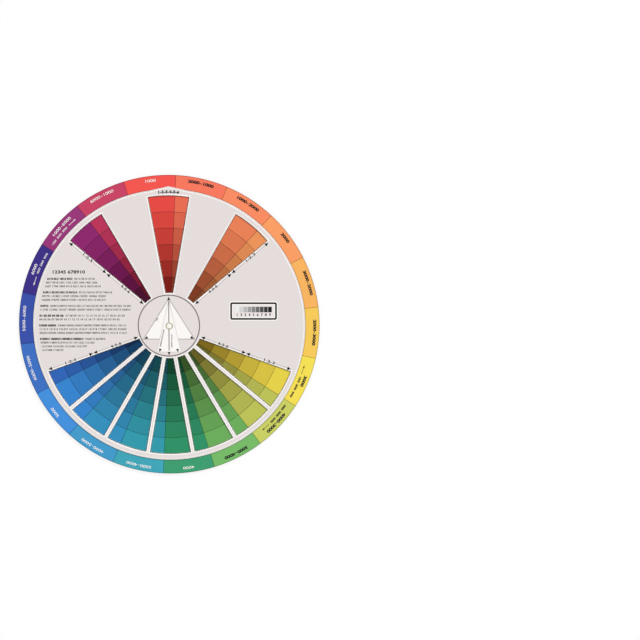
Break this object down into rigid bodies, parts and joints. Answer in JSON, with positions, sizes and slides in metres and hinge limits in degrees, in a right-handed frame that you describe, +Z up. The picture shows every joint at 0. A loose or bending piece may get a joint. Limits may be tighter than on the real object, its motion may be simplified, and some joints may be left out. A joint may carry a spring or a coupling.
{
  "type": "color mixing wheel",
  "caption": "Round printed card between two windowed card dials that turn on a central hollow eyelet, for looking up paint hues, tones and shades.",
  "frame": {"origin": "on the pivot axis, at the level of the table that the wheel lies on", "axes": "+Z up along the pivot axis, out of the wheel's front; +Y towards the front dial's pointed tip at rest; +X to the right of the front"},
  "size_m": [0.235, 0.235, 0.0032],
  "materials": {
    "printed_base_card": "satin",
    "dial_card": "satin",
    "eyelet_metal": "polished"
  },
  "bodies": {
    "base": {"base_disc": "printed_base_card", "eyelet": "eyelet_metal"},
    "front_dial": {"front_dial": "dial_card"},
    "back_dial": {"back_dial": "dial_card"}
  },
  "joints": [
    {"name": "front_dial_turn", "type": "hinge", "parent": "base", "child": "front_dial", "pos_m": [0, 0, 0], "axis": [0, 0, 1], "continuous": true},
    {"name": "back_dial_turn", "type": "hinge", "parent": "base", "child": "back_dial", "pos_m": [0, 0, 0], "axis": [0, 0, 1], "continuous": true}
  ]
}
